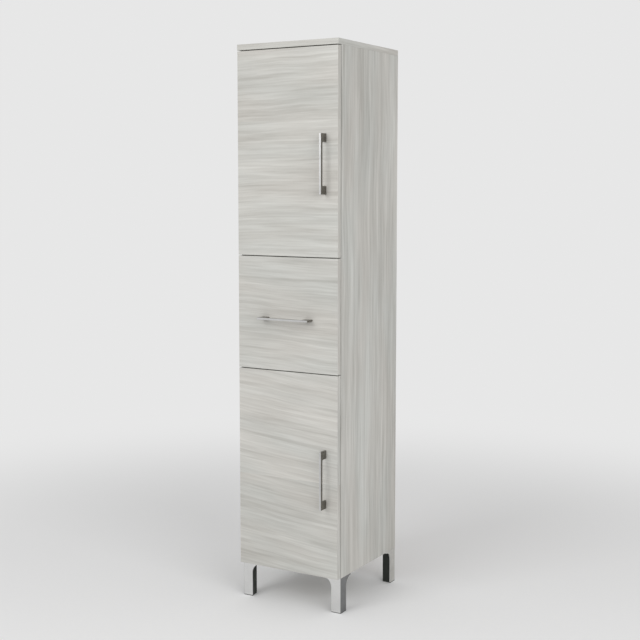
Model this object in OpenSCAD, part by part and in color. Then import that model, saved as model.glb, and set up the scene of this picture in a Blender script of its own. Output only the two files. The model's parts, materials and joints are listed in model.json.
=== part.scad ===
// Tall bathroom column: a melamine carcass on four corner legs, with an upper
// door, a drawer and a lower door, concealed cup hinges and roller runners.
// +X is to the right, +Y to the back and +Z up. The origin is on the floor,
// under the middle of the whole part, handles included.

/* [Cabinet] */
// Width of the cabinet
cabinet_w = 370; // [340:5:450]
// Height from the floor to the top face of the lid
cabinet_h = 1800; // [1700:10:1950]
// Depth of the carcass, without the fronts
carcass_d = 380; // [350:5:450]
// Height of the legs, pads included
leg_h = 115; // [95:5:145]

/* [Boards] */
// Thickness of the sides, bottom, dividers and shelves
board_t = 16; // [15:0.5:19]
// Thickness of the lid
lid_t = 18; // [16:1:22]
// Thickness of the doors and of the drawer front
front_t = 18; // [18:0.5:22]
// Thickness of the back panel and of the drawer bottom
hardboard_t = 3; // [2.5:0.5:4]
// Distance from the rear edge of the carcass to the back panel
back_inset = 10; // [8:1:20]
// Depth of the grooves that hold the back panel and the drawer bottom
groove_depth = 7; // [5:0.5:8]

/* [Fronts] */
// Height of the lower door
lower_door_h = 650; // [600:5:680]
// Height of the drawer front
drawer_front_h = 362; // [330:2:380]
// Gap between two fronts, and under the lid
front_gap = 3; // [2:0.5:4]
// Reveal between a front's edge and the outer face of the side
side_reveal = 1; // [0.5:0.25:1.5]
// Height of the lower door's edge above the underside of the carcass
door_lift = 1; // [0:0.5:3]
// Space between the fronts and the carcass
seat_gap = 2; // [1.8:0.1:2.4]

/* [Handles] */
// Length of a handle
handle_len = 186; // [140:2:220]
// Width of the handle's front face
handle_w = 6; // [5.6:0.2:10]
// Depth of the handle's bar
handle_bar_d = 10; // [7:0.5:14]
// How far the handle stands off the door
handle_projection = 34; // [28:1:40]
// Length of each handle foot along the bar
handle_foot = 26; // [14:1:34]
// Distance from the side of the cabinet to the middle of a door handle
handle_inset = 45; // [35:1:70]
// Height of the middle of the upper door's handle above that door's edge
upper_handle_rise = 287; // [200:5:400]
// Height of the middle of the lower door's handle above that door's edge
lower_handle_rise = 319; // [200:5:450]
// Height of the drawer handle above the drawer front's lower edge
drawer_handle_rise = 166; // [120:2:200]

/* [Legs] */
// Width of each wing of a leg
leg_wing = 35; // [28:1:45]
// Wall of a leg
leg_wall = 3; // [2:0.5:4]
// Radius of the flare under the carcass
leg_flare = 30; // [15:1:35]
// Width of the moulded core inside a leg
leg_core = 28; // [20:1:30]
// Thickness of the pad that a leg stands on
pad_t = 2; // [1.5:0.5:4]

/* [Shelves] */
// Clearance at each end of a shelf
shelf_play = 0.8; // [0.5:0.1:1.5]
// Distance from the carcass front to a shelf
shelf_setback = 15; // [15:1:40]

/* [Drawer] */
// Height of the drawer's sides
drawer_side_h = 200; // [140:5:220]
// Thickness of the drawer's sides and back
drawer_board_t = 12; // [12:0.5:15]
// Length of the drawer's sides
drawer_len = 340; // [290:5:340]
// Space for a runner on each side of the drawer
runner_space = 12.5; // [12.5:0.1:13]
// Length of a runner
runner_len = 350; // [300:10:350]
// Height of a runner above the lower divider
runner_rise = 20; // [12:1:30]
// Radius of a runner's roller
roller_r = 9.5; // [8.5:0.1:10]

/* [Hinges] */
// Distance from a door's end to the middle of a hinge
hinge_inset = 100; // [80:5:130]
// Outer radius of a hinge cup
cup_r = 17.5; // [17.3:0.1:17.7]
// Depth of a hinge cup
cup_depth = 12.5; // [12:0.1:13]

/* [Hidden] */
$fn = 48;
eps = 0.01;
// Play of a screw, dowel or pin in its hole, on the radius
fit = 0.05;
// Running play of a pivot, on the radius
pivot_fit = 0.08;
// Play of a panel in its groove, on each side
panel_play = 0.2;

// Planes across the depth
total_d = handle_projection + front_t + seat_gap + carcass_d;
front_y = handle_projection - total_d / 2;
front_back_y = front_y + front_t;
carcass_y = front_back_y + seat_gap;
rear_y = carcass_y + carcass_d;
back_y = rear_y - back_inset - hardboard_t;
inside_d = back_y - panel_play - carcass_y;

// Planes across the width
half_w = cabinet_w / 2;
inner_w = cabinet_w - 2 * board_t;
inner_x = inner_w / 2;
front_w = cabinet_w - 2 * side_reveal;

// Planes up the height
floor_z = leg_h + board_t;
lid_z = cabinet_h - lid_t;
lower_door_z = leg_h + door_lift;
drawer_front_z = lower_door_z + lower_door_h + front_gap;
upper_door_z = drawer_front_z + drawer_front_h + front_gap;
upper_door_h = lid_z - front_gap - upper_door_z;
divider_lower_z = drawer_front_z - (front_gap + board_t) / 2;
divider_upper_z = upper_door_z - (front_gap + board_t) / 2;
bay_z = divider_lower_z + board_t;
upper_floor_z = divider_upper_z + board_t;

// Panel joints: each end of a panel has two cams and two dowels
cam_r = 7.5;
cam_t = 12.5;
cam_reach = 24;
cam_bolt_r = 3.5;
bolt_thread_r = 2.5;
bolt_thread_len = 11;
bolt_bore_r = 4;
dowel_r = 4;
dowel_len = 30;
dowel_in_side = 11;
cam_edge = 80;
dowel_edge = 112;
cam_ys = [carcass_y + cam_edge, rear_y - cam_edge];
dowel_ys = [carcass_y + dowel_edge, rear_y - dowel_edge];
joined_panel_zs = [leg_h, divider_lower_z, divider_upper_z];

// Shelves stand on four pins each; every pin has a spare hole above and below
pin_r = 2.5;
pin_in_side = 9;
pin_out = 8;
pin_head_r = 3.6;
pin_edge = 50;
spare_pitch = 32;
shelf_w = inner_w - 2 * shelf_play;
shelf_d = inside_d - shelf_setback - panel_play;
shelf_y = carcass_y + shelf_setback;
upper_space = (lid_z - upper_floor_z - 2 * board_t) / 3;
upper_shelf_low_z = upper_floor_z + upper_space;
upper_shelf_high_z = upper_shelf_low_z + board_t + upper_space;
lower_shelf_z = floor_z + (divider_lower_z - floor_z - board_t) / 2;
shelf_zs = [lower_shelf_z, upper_shelf_low_z, upper_shelf_high_z];
pin_ys = [carcass_y + pin_edge, rear_y - pin_edge];

// Legs
leg_reach = leg_wing + leg_flare;
leg_lip = 4;
leg_plate_t = 3;
leg_screw_r = 2;
leg_screw_len = 12;
leg_screw_head_r = 3.8;
leg_screw_head_t = 2.4;
leg_core_play = 0.1;
leg_screw_near = 26;
leg_screw_mid = 40;
leg_screw_far = 50;
leg_screws_at = [
    [leg_screw_mid, leg_screw_mid],
    [leg_screw_far, leg_screw_near],
    [leg_screw_near, leg_screw_far]
];

// Handles
handle_screw_r = 2;
handle_screw_in = 12;
handle_head_r = 4;
handle_head_t = 2.6;
handle_fillet = 4;
handle_hole_play = 0.25;

// Bumpers between the fronts and the carcass
bumper_r = 4;
bumper_t = seat_gap - 0.2;
bumper_edge = board_t / 2;

// Drawer
drawer_w = inner_w - 2 * runner_space;
drawer_x = drawer_w / 2;
runner_z = bay_z + runner_rise;
member_t = 1.2;
drawer_ledge_z = 3;
drawer_z = runner_z + drawer_ledge_z + member_t;
drawer_bottom_z = drawer_z + 10;
drawer_rear_y = front_back_y + drawer_len;
drawer_inner_w = drawer_w - 2 * drawer_board_t;
groove_w = hardboard_t + 2 * panel_play;

// Runners, seen along the drawer: s is the distance from the cabinet's side
roller_w = 6;
roller_s = 3.1;
roller_gap = 0.3;
axle_r = 2;
cabinet_member_h = 30;
cabinet_flange_w = 10.6;
cabinet_lip_h = 3.5;
drawer_flange_z = 2 * roller_r + 5;
cabinet_roller_z = drawer_flange_z - roller_gap - roller_r;
drawer_roller_z = member_t + roller_gap + roller_r;
roller_end = 13;
member_front_y = carcass_y + 2;
cabinet_roller_y = member_front_y + roller_end;
drawer_roller_y = drawer_rear_y - roller_end;
member_screw_z = 20;
member_screw_edge = 35;
member_screw_pitch = 128;
member_screw_ys = [for (k = [0 : 2]) member_front_y + member_screw_edge + k * member_screw_pitch];
drawer_screw_edge = 50;
drawer_screw_ys = [front_back_y + drawer_screw_edge, drawer_rear_y - 1.5 * drawer_screw_edge];
chip_r = 1.8;
chip_in_back = 24;

// Hinges. A hinge is drawn in its own frame: X inboard from the inner face of
// the side, Y back from the front edge of the carcass, Z up from its middle.
door_open_deg = 100;
outer_link_ratio = 0.24;
inner_link_ratio = 0.48;
arm_pin_a = [15, -7];
arm_pin_d = [15, -1];
cup_pin_b = [-6.7, -8.8];
link_pin_p = [-5.6, -2.93];
cup_x = 6.5;
cup_wall = 1;
mouth_y = -seat_gap;
pin_small_r = 1.2;
eye_r = 2.3;
link_w = 2.4;
outer_z0 = 3.4;
outer_z1 = 5;
ear_z0 = 1.8;
ear_z1 = 3;
inner_half = 1.5;
inner_w_link = 2.8;
link_pin_r = 1;
track_play = 0.12;
track_wall = 0.8;
arm_z0 = 5.3;
arm_z1 = 6.5;
arm_web_x = 18;
arm_low_x = 12;
arm_step_y = 8;
arm_low_y = 20;
arm_len = 58;
arm_t = 1.2;
plate_t = 2.5;
plate_screw_y = 37;
plate_screw_pitch = 32;
plate_screw_r = 2.5;
cup_screw_x = cup_x + 9.5;
cup_ear_w = 15;
cup_ear_h = 52;
cup_trim = 6;
cup_screw_pitch = 45;
cup_screw_r = 1.75;
upper_hinge_zs = [upper_door_z + hinge_inset, upper_door_z + upper_door_h - hinge_inset];
lower_hinge_zs = [lower_door_z + hinge_inset, lower_door_z + lower_door_h - hinge_inset];
all_hinge_zs = concat(lower_hinge_zs, upper_hinge_zs);

// Colours
wood = "#c9c7c1";
wood_side = "#b3b0aa";
chrome = "#d5d6d8";
steel = "#a9abae";
white = "#ececea";
black = "#2a2a2a";
beech = "#c9a878";

// General helpers

// A box between two corners
module span(low, high) {
    translate(low)
        cube([high[0] - low[0], high[1] - low[1], high[2] - low[2]]);
}

// A rod of radius r from p, len long, along the unit axis dir
module rod(p, dir, r, len) {
    translate(p)
        rotate(dir[0] != 0 ? [0, 90 * dir[0], 0] : dir[1] != 0 ? [-90 * dir[1], 0, 0] : [dir[2] < 0 ? 180 : 0, 0, 0])
            cylinder(r = r, h = len);
}

// Everything given is also made at the right-hand side
module both_sides() {
    children();
    mirror([1, 0, 0])
        children();
}

// Fittings of the panel joints, drawn for the left end of a panel

// Cam housing: a disc with a driver slot and an opening for the bolt's head
module cam() {
    difference() {
        cylinder(r = cam_r - fit, h = cam_t - 0.3);
        translate([-5, -0.8, -eps])
            cube([10, 1.6, 1.6]);
        translate([-0.8, -5, -eps])
            cube([1.6, 10, 1.6]);
        translate([0, 0, board_t / 2])
            rotate([0, -90, 0])
                cylinder(r = cam_bolt_r + 0.5, h = cam_r + 1);
        translate([0, 0, board_t / 2])
            sphere(r = cam_bolt_r + 0.5);
    }
}

// Bolt from the side's inner face to the cam, along +Z from its thread
module cam_bolt() {
    rotate_extrude()
        polygon([
            [0, 0], [bolt_thread_r, 0], [bolt_thread_r, bolt_thread_len], [cam_bolt_r, bolt_thread_len],
            [cam_bolt_r, bolt_thread_len + 2], [2, bolt_thread_len + 2],
            [2, bolt_thread_len + cam_reach - 3], [3, bolt_thread_len + cam_reach - 2],
            [3, bolt_thread_len + cam_reach], [0, bolt_thread_len + cam_reach]
        ]);
}

// Cutters for one joined end of a horizontal panel whose underside is at z
module panel_end_bores(z) {
    for (y = cam_ys) {
        rod([-inner_x + cam_reach, y, z - eps], [0, 0, 1], cam_r, cam_t);
        rod([-inner_x - eps, y, z + board_t / 2], [1, 0, 0], bolt_bore_r, cam_reach);
    }
    for (y = dowel_ys)
        rod([-inner_x - eps, y, z + board_t / 2], [1, 0, 0], dowel_r + fit, dowel_len - dowel_in_side + 1);
}

// Cutters for the left side panel where a horizontal panel at z meets it
module side_joint_bores(z) {
    for (y = cam_ys)
        rod([-inner_x + eps, y, z + board_t / 2], [-1, 0, 0], bolt_thread_r + fit, bolt_thread_len + 0.5);
    for (y = dowel_ys)
        rod([-inner_x + eps, y, z + board_t / 2], [-1, 0, 0], dowel_r + fit, dowel_in_side + 0.5);
}

// Carcass

module side_panel() {
    difference() {
        span([-half_w, carcass_y, leg_h], [-inner_x, rear_y, lid_z]);
        // Groove of the back panel
        span([-inner_x - groove_depth, back_y - panel_play, leg_h - 1],
             [-inner_x + 1, back_y + hardboard_t + panel_play, lid_z + 1]);
        for (z = joined_panel_zs)
            side_joint_bores(z);
        // Cam pockets and bores for the lid
        for (y = cam_ys) {
            rod([-inner_x + eps, y, lid_z - cam_reach], [-1, 0, 0], cam_r, cam_t);
            rod([-half_w + board_t / 2, y, lid_z + eps], [0, 0, -1], bolt_bore_r, cam_reach);
        }
        for (y = dowel_ys)
            rod([-half_w + board_t / 2, y, lid_z + eps], [0, 0, -1], dowel_r + fit, dowel_len - dowel_in_side + 1);
        // Shelf pin holes
        for (z = shelf_zs)
            for (y = pin_ys)
                for (k = [-1, 0, 1])
                    rod([-inner_x + eps, y, z - pin_r + k * spare_pitch], [-1, 0, 0], pin_r + fit, pin_in_side + 1);
        // Runner screws
        for (y = member_screw_ys)
            rod([-inner_x + eps, y, runner_z + member_screw_z], [-1, 0, 0], chip_r + fit, 12);
    }
}

module side_left() {
    color(wood_side)
        difference() {
            side_panel();
            for (z = all_hinge_zs)
                for (k = [-1, 1])
                    rod([-inner_x + eps, carcass_y + plate_screw_y, z + k * plate_screw_pitch / 2],
                        [-1, 0, 0], plate_screw_r + fit, 11.5);
        }
}

module side_right() {
    color(wood_side)
        mirror([1, 0, 0])
            side_panel();
}

module lid() {
    color(wood)
        difference() {
            span([-half_w, front_y, lid_z], [half_w, rear_y, cabinet_h]);
            span([-inner_x - groove_depth, back_y - panel_play, lid_z - 1],
                 [inner_x + groove_depth, back_y + hardboard_t + panel_play, lid_z + groove_depth]);
            both_sides() {
                for (y = cam_ys)
                    rod([-half_w + board_t / 2, y, lid_z - eps], [0, 0, 1], bolt_thread_r + fit, bolt_thread_len + 0.5);
                for (y = dowel_ys)
                    rod([-half_w + board_t / 2, y, lid_z - eps], [0, 0, 1], dowel_r + fit, dowel_in_side + 0.5);
            }
        }
}

// A joined horizontal panel with its underside at z
module joined_panel(z) {
    difference() {
        span([-inner_x, carcass_y, z], [inner_x, carcass_y + inside_d, z + board_t]);
        both_sides()
            panel_end_bores(z);
    }
}

module bottom_panel() {
    color(wood_side)
        difference() {
            joined_panel(leg_h);
            leg_corners()
                for (p = leg_screws_at)
                    rod([p[0], p[1], -eps], [0, 0, 1], leg_screw_r + fit, leg_screw_len + 0.5);
        }
}

module divider_lower() {
    color(wood_side)
        joined_panel(divider_lower_z);
}

module divider_upper() {
    color(wood_side)
        joined_panel(divider_upper_z);
}

module back_panel() {
    color(white)
        span([-inner_x - groove_depth + panel_play, back_y, leg_h],
             [inner_x + groove_depth - panel_play, back_y + hardboard_t, lid_z + groove_depth - panel_play]);
}

module shelf(z) {
    color(wood_side)
        span([-shelf_w / 2, shelf_y, z], [shelf_w / 2, shelf_y + shelf_d, z + board_t]);
}

module lower_shelf() {
    shelf(lower_shelf_z);
}

module upper_shelf_low() {
    shelf(upper_shelf_low_z);
}

module upper_shelf_high() {
    shelf(upper_shelf_high_z);
}

// Pin with a round head whose top is cut flat for the shelf
module shelf_pin() {
    difference() {
        union() {
            rod([-pin_in_side, 0, 0], [1, 0, 0], pin_r, pin_in_side + 1);
            rod([0, 0, 0], [1, 0, 0], pin_head_r, pin_out);
        }
        translate([eps, -pin_head_r - 1, pin_r])
            cube([pin_out + 1, 2 * pin_head_r + 2, pin_head_r]);
        translate([-1, -pin_head_r - 1, pin_r])
            cube([1 + 2 * eps, 2 * pin_head_r + 2, pin_head_r]);
    }
}

module shelf_pins() {
    color(steel)
        both_sides()
            for (z = shelf_zs)
                for (y = pin_ys)
                    translate([-inner_x, y, z - pin_r])
                        shelf_pin();
}

module cam_locks() {
    color(steel)
        both_sides() {
            for (z = joined_panel_zs)
                for (y = cam_ys)
                    translate([-inner_x + cam_reach, y, z])
                        cam();
            for (y = cam_ys)
                translate([-inner_x, y, lid_z - cam_reach])
                    rotate([0, -90, 0])
                        mirror([1, 0, 0])
                            cam();
        }
}

module cam_bolts() {
    color(steel)
        both_sides() {
            for (z = joined_panel_zs)
                for (y = cam_ys)
                    translate([-inner_x - bolt_thread_len, y, z + board_t / 2])
                        rotate([0, 90, 0])
                            cam_bolt();
            for (y = cam_ys)
                translate([-half_w + board_t / 2, y, lid_z + bolt_thread_len])
                    rotate([180, 0, 0])
                        cam_bolt();
        }
}

module dowels() {
    color(beech)
        both_sides() {
            for (z = joined_panel_zs)
                for (y = dowel_ys)
                    rod([-inner_x - dowel_in_side, y, z + board_t / 2], [1, 0, 0], dowel_r, dowel_len);
            for (y = dowel_ys)
                rod([-half_w + board_t / 2, y, lid_z + dowel_in_side], [0, 0, -1], dowel_r, dowel_len);
        }
}

// Legs

// Places children, drawn for the front left corner at its outer edge, at all four
module leg_corners() {
    for (fx = [0, 1])
        for (fy = [0, 1])
            leg_corner(fx, fy)
                children();
}

module leg_corner(fx, fy) {
    translate([fx ? half_w : -half_w, fy ? rear_y : carcass_y, leg_h])
        mirror([fx, 0, 0])
            mirror([0, fy, 0])
                children();
}

// Square plan of a leg from its outer corner, with that corner rounded
module leg_plan(size, r) {
    difference() {
        square(size);
        difference() {
            translate([-1, -1])
                square(r + 1);
            translate([r, r])
                circle(r);
        }
    }
}

// What is cut from a wing to leave its upright and its quarter-round flare
module flare_cut() {
    flare_z = leg_h - pad_t - leg_lip - leg_flare;
    translate([leg_wing, -1])
        square([leg_reach, flare_z + 1]);
    translate([leg_reach, flare_z])
        circle(leg_flare);
}

module leg() {
    h = leg_h - pad_t;
    translate([0, 0, -h])
        difference() {
            union() {
                linear_extrude(h)
                    difference() {
                        leg_plan(leg_reach, 2);
                        translate([leg_wall, leg_wall])
                            leg_plan(leg_reach, 1);
                    }
                translate([0, 0, h - leg_plate_t])
                    linear_extrude(leg_plate_t)
                        difference() {
                            leg_plan(leg_reach, 2);
                            translate([leg_reach, leg_reach])
                                circle(leg_flare);
                        }
            }
            translate([0, leg_wall + 1, 0])
                rotate([90, 0, 0])
                    linear_extrude(leg_wall + 2)
                        flare_cut();
            mirror([1, -1, 0])
                translate([0, leg_wall + 1, 0])
                    rotate([90, 0, 0])
                        linear_extrude(leg_wall + 2)
                            flare_cut();
            for (p = leg_screws_at)
                rod([p[0], p[1], h - leg_plate_t - 1], [0, 0, 1], leg_screw_r + 0.3, leg_plate_t + 2);
        }
}

module leg_front_left() {
    color(chrome)
        leg_corner(0, 0)
            leg();
}

module leg_front_right() {
    color(chrome)
        leg_corner(1, 0)
            leg();
}

module leg_rear_left() {
    color(chrome)
        leg_corner(0, 1)
            leg();
}

module leg_rear_right() {
    color(chrome)
        leg_corner(1, 1)
            leg();
}

// Moulded core glued into the corner of a leg. Its foot is the pad under the wings
module leg_core_and_pad() {
    core_at = leg_wall + leg_core_play;
    translate([core_at, core_at, 0])
        linear_extrude(leg_h - leg_plate_t - leg_core_play)
            leg_plan(leg_core - leg_core_play, 1);
    linear_extrude(pad_t)
        intersection() {
            translate([0.3, 0.3])
                leg_plan(leg_wing - 0.6, 2);
            union() {
                square([leg_wing, core_at + 1]);
                square([core_at + 1, leg_wing]);
            }
        }
}

module leg_pads() {
    color(black)
        leg_corners()
            translate([0, 0, -leg_h])
                leg_core_and_pad();
}

// A pan head screw pointing up, its head under z = 0
module pan_screw(r, len, head_r, head_t) {
    rotate_extrude()
        polygon([
            [0, -head_t], [head_r - 0.8, -head_t], [head_r, -head_t + 0.8], [head_r, 0], [r, 0],
            [r, len - r], [0, len]
        ]);
}

module leg_screws() {
    color(steel)
        leg_corners()
            for (p = leg_screws_at)
                translate([p[0], p[1], -leg_plate_t])
                    pan_screw(leg_screw_r, leg_screw_len + leg_plate_t, leg_screw_head_r, leg_screw_head_t);
}

// Hinges

function mix(a, b, t) = a + (b - a) * t;
function bezier(p, t) =
    mix(mix(mix(p[0], p[1], t), mix(p[1], p[2], t), t), mix(mix(p[1], p[2], t), mix(p[2], p[3], t), t), t);
function side_step(a, b, along, across) =
    let (d = b - a) a + d * along + [-d[1], d[0]] / norm(d) * across;

// The links are bands along a curve between their pivots
link_steps = 6;
outer_curve = [
    arm_pin_a,
    side_step(arm_pin_a, cup_pin_b, 0.33, 6),
    side_step(arm_pin_a, cup_pin_b, 1.05, 4),
    cup_pin_b
];

module band(curve, w, steps) {
    for (i = [0 : steps - 1]) {
        a = bezier(curve, i / steps);
        b = bezier(curve, (i + 1) / steps);
        translate(a)
            rotate(atan2(b[1] - a[1], b[0] - a[0]))
                translate([0, -w / 2])
                    square([norm(b - a), w]);
        if (i > 0)
            translate(a)
                circle(w / 2);
    }
}

// Makes the children at both hinges of a door
module at_hinges(zs) {
    for (z = zs)
        translate([-inner_x, carcass_y, z])
            children();
}

// Both of a pair of flat pieces between |z| = z0 and z1
module layer_pair(z0, z1) {
    for (k = [0, 1])
        mirror([0, 0, k])
            translate([0, 0, z0])
                linear_extrude(z1 - z0)
                    children();
}

module outer_link() {
    difference() {
        union() {
            layer_pair(outer_z0, outer_z1) {
                band(outer_curve, link_w, link_steps);
                translate(arm_pin_a)
                    circle(eye_r);
                translate(cup_pin_b)
                    circle(eye_r);
            }
            // Spacer between the two plates
            translate(concat(bezier(outer_curve, 0.15), [-outer_z1]))
                cylinder(r = link_w / 2, h = 2 * outer_z1);
        }
        for (p = [arm_pin_a, cup_pin_b])
            translate([p[0], p[1], -outer_z1 - 1])
                cylinder(r = pin_small_r + pivot_fit, h = 2 * outer_z1 + 2);
    }
}

// Where the free pin of the inner link stands in the cup when the door is open by t degrees
function spin(p, c, a) = c + [[cos(a), -sin(a)], [sin(a), cos(a)]] * (p - c);
function pin_in_cup(t) =
    spin(spin(spin(link_pin_p, arm_pin_d, inner_link_ratio * t), arm_pin_a, -outer_link_ratio * t),
         cup_pin_b, (1 + outer_link_ratio) * t);
inner_curve = [
    arm_pin_d,
    side_step(arm_pin_d, link_pin_p, 0.33, -4),
    side_step(arm_pin_d, link_pin_p, 0.9, 6),
    link_pin_p
];

// The track of that pin, widened to the half width r
module pin_track(r) {
    step = door_open_deg / 10;
    for (i = [0 : 9]) {
        a = pin_in_cup(i * step);
        b = pin_in_cup((i + 1) * step);
        translate(a)
            circle(r);
        translate(a)
            rotate(atan2(b[1] - a[1], b[0] - a[0]))
                translate([0, -r])
                    square([norm(b - a), 2 * r]);
    }
    translate(pin_in_cup(door_open_deg))
        circle(r);
}

module inner_link() {
    difference() {
        union() {
            linear_extrude(2 * inner_half, center = true) {
                band(inner_curve, inner_w_link, link_steps);
                translate(link_pin_p)
                    circle(inner_w_link / 2);
            }
            translate([arm_pin_d[0], arm_pin_d[1], -outer_z1])
                cylinder(r = eye_r, h = 2 * outer_z1);
            translate([link_pin_p[0], link_pin_p[1], -ear_z1])
                cylinder(r = link_pin_r, h = 2 * ear_z1);
        }
        translate([arm_pin_d[0], arm_pin_d[1], -outer_z1 - 1])
            cylinder(r = pin_small_r + pivot_fit, h = 2 * outer_z1 + 2);
    }
}

// Flat outline of one cheek of the arm
module arm_cheek() {
    polygon([
        [arm_pin_a[0] - eye_r, arm_pin_a[1]], [arm_web_x + arm_t, arm_pin_a[1]],
        [arm_web_x + arm_t, arm_step_y], [arm_low_x + arm_t, arm_low_y], [arm_low_x + arm_t, arm_len],
        [5, arm_len], [5, 14], [arm_pin_d[0] - eye_r, 4]
    ]);
    translate(arm_pin_a)
        circle(eye_r);
}

// The sheet that joins the cheeks, as a flat outline
module arm_web() {
    polygon([
        [arm_web_x, -3.5], [arm_web_x + arm_t, -3.5], [arm_web_x + arm_t, arm_step_y],
        [arm_low_x + arm_t, arm_low_y], [arm_low_x + arm_t, arm_len], [arm_low_x, arm_len],
        [arm_low_x, arm_low_y - 0.5], [arm_web_x, arm_step_y - 0.5]
    ]);
}

module hinge_arm() {
    layer_pair(arm_z0, arm_z1)
        arm_cheek();
    linear_extrude(2 * arm_z1, center = true)
        arm_web();
    for (p = [arm_pin_a, arm_pin_d])
        translate([p[0], p[1], -arm_z1 + eps])
            cylinder(r = pin_small_r, h = 2 * (arm_z1 - eps));
}

// Mounting plate on the side: a winged base and a rib that carries the arm
module hinge_plate() {
    difference() {
        union() {
            rotate([90, 0, 90])
                linear_extrude(plate_t) {
                    translate([14, -9])
                        square([44, 18]);
                    translate([plate_screw_y - 8, -plate_screw_pitch / 2])
                        square([16, plate_screw_pitch]);
                    for (k = [-1, 1])
                        translate([plate_screw_y, k * plate_screw_pitch / 2])
                            circle(8);
                }
            translate([0, 18, -5])
                cube([arm_low_x, 38, 10]);
        }
        for (k = [-1, 1])
            rod([-1, plate_screw_y, k * plate_screw_pitch / 2], [1, 0, 0], plate_screw_r + 0.1, plate_t + 2);
        rod([arm_low_x - 8, 46, 0], [1, 0, 0], 2.05, 9);
    }
}

module cup_outline() {
    translate([cup_x, mouth_y, 0])
        rotate([90, 0, 0])
            cylinder(r = cup_r, h = cup_depth);
}

module hinge_cup() {
    difference() {
        union() {
            cup_outline();
            // Flange on the back of the door, cut back beside the door's edge
            translate([0, mouth_y + arm_t, 0])
                rotate([90, 0, 0])
                    linear_extrude(arm_t)
                        intersection() {
                            union() {
                                translate([cup_x, 0])
                                    circle(cup_r + 1.5);
                                translate([cup_x + 1, -cup_ear_h / 2])
                                    square([cup_ear_w, cup_ear_h]);
                                for (k = [-1, 1])
                                    translate([cup_screw_x - 1, k * cup_screw_pitch / 2])
                                        circle(6.5);
                            }
                            translate([cup_x - cup_trim, -cup_ear_h])
                                square(2 * cup_ear_h);
                        }
        }
        translate([cup_x, mouth_y + 5, 0])
            rotate([90, 0, 0])
                cylinder(r = cup_r - cup_wall, h = cup_depth - cup_wall + 5);
        for (k = [-1, 1])
            rod([cup_screw_x, mouth_y - 1, k * cup_screw_pitch / 2], [0, 1, 0], cup_screw_r + 0.2, 4);
    }
    cup_bottom = mouth_y - cup_depth + cup_wall - eps;
    // Ears with the curved track in which the pin of the inner link runs
    layer_pair(ear_z0, ear_z1)
        difference() {
            union() {
                pin_track(link_pin_r + track_play + track_wall);
                translate([link_pin_p[0] - 4, cup_bottom])
                    square([5, link_pin_p[1] - 1.5 - cup_bottom]);
            }
            pin_track(link_pin_r + track_play);
        }
    // Shoulder pins of the outer link, from the cup's wall inwards
    intersection() {
        layer_pair(outer_z0, cup_r) {
            translate(cup_pin_b)
                circle(pin_small_r);
        }
        cup_outline();
    }
    intersection() {
        layer_pair(outer_z1 + 0.3, cup_r)
            translate(cup_pin_b)
                circle(1.9);
        cup_outline();
    }
}

module hinge_plates() {
    color(steel)
        at_hinges(all_hinge_zs)
            hinge_plate();
}

module hinge_arms() {
    color(steel)
        at_hinges(all_hinge_zs)
            hinge_arm();
}

module hinge_plate_screws() {
    color(steel)
        at_hinges(all_hinge_zs)
            for (k = [-1, 1])
                translate([plate_t, plate_screw_y, k * plate_screw_pitch / 2])
                    rotate([0, -90, 0])
                        pan_screw(plate_screw_r, 11 + plate_t, 4.2, 1.8);
}

module upper_hinge_cups() {
    color(steel)
        at_hinges(upper_hinge_zs)
            hinge_cup();
}

module lower_hinge_cups() {
    color(steel)
        at_hinges(lower_hinge_zs)
            hinge_cup();
}

module cup_screws(zs) {
    color(steel)
        at_hinges(zs)
            for (k = [-1, 1])
                translate([cup_screw_x, mouth_y + arm_t, k * cup_screw_pitch / 2])
                    rotate([90, 0, 0])
                        pan_screw(cup_screw_r, 12 + arm_t, 3.4, 0.6);
}

module upper_cup_screws() {
    cup_screws(upper_hinge_zs);
}

module lower_cup_screws() {
    cup_screws(lower_hinge_zs);
}

module upper_outer_links() {
    color(steel)
        at_hinges(upper_hinge_zs)
            outer_link();
}

module lower_outer_links() {
    color(steel)
        at_hinges(lower_hinge_zs)
            outer_link();
}

module upper_inner_links() {
    color(steel)
        at_hinges(upper_hinge_zs)
            inner_link();
}

module lower_inner_links() {
    color(steel)
        at_hinges(lower_hinge_zs)
            inner_link();
}

// Fronts and handles

// Positions of a handle's two screws along its length
handle_screw_at = [-1, 1] * (handle_len / 2 - handle_foot / 2);

// A front with its lower edge at z; screw holes for a handle are cut by the caller
module front_board(z, h) {
    span([-front_w / 2, front_y, z], [front_w / 2, front_back_y, z + h]);
}

module handle_hole(x, z) {
    rod([x, front_y - 1, z], [0, 1, 0], handle_screw_r + handle_hole_play, front_t + 2);
}

module hinged_door(z, h, hinge_zs, handle_z) {
    difference() {
        front_board(z, h);
        at_hinges(hinge_zs) {
            translate([cup_x, mouth_y + 1, 0])
                rotate([90, 0, 0])
                    cylinder(r = cup_r + fit, h = cup_depth + 1 + 0.2);
            for (k = [-1, 1])
                rod([cup_screw_x, mouth_y + eps, k * cup_screw_pitch / 2], [0, -1, 0], cup_screw_r + fit, 12.5);
        }
        for (k = handle_screw_at)
            handle_hole(half_w - handle_inset, handle_z + k);
    }
}

upper_handle_z = upper_door_z + upper_handle_rise;
lower_handle_z = lower_door_z + lower_handle_rise;
drawer_handle_z = drawer_front_z + drawer_handle_rise;

module upper_door() {
    color(wood)
        hinged_door(upper_door_z, upper_door_h, upper_hinge_zs, upper_handle_z);
}

module lower_door() {
    color(wood)
        hinged_door(lower_door_z, lower_door_h, lower_hinge_zs, lower_handle_z);
}

// Rectangle with its two far corners rounded
module throat(w, d, r) {
    square([w, d - r]);
    translate([r, d - r])
        circle(r);
    translate([w - r, d - r])
        circle(r);
    translate([r, 0])
        square([w - 2 * r, d]);
}

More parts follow.
